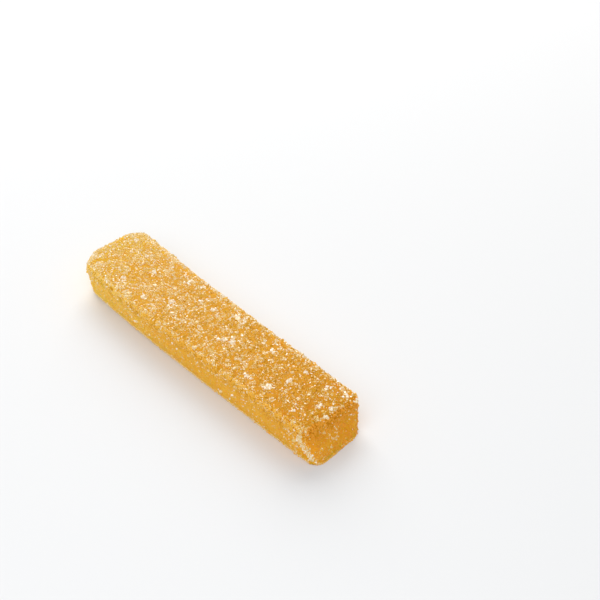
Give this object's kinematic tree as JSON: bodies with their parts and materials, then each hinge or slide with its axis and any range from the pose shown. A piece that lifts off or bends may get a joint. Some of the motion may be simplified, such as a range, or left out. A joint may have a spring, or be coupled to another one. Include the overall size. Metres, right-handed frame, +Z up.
{
  "type": "pate de fruit",
  "caption": "Strip of set fruit jelly with cut sides, coated in coarse granulated sugar, lying flat on its base.",
  "frame": {"origin": "middle of the base, on the surface that the strip lies on", "axes": "+X along the strip from its rounder far end to its square-cut near end, +Z up, front side towards -Y"},
  "size_m": [0.0728, 0.0178, 0.009],
  "materials": {
    "fruit_jelly": "satin"
  },
  "bodies": {
    "root": {"pate_de_fruit": "fruit_jelly"}
  },
  "joints": []
}
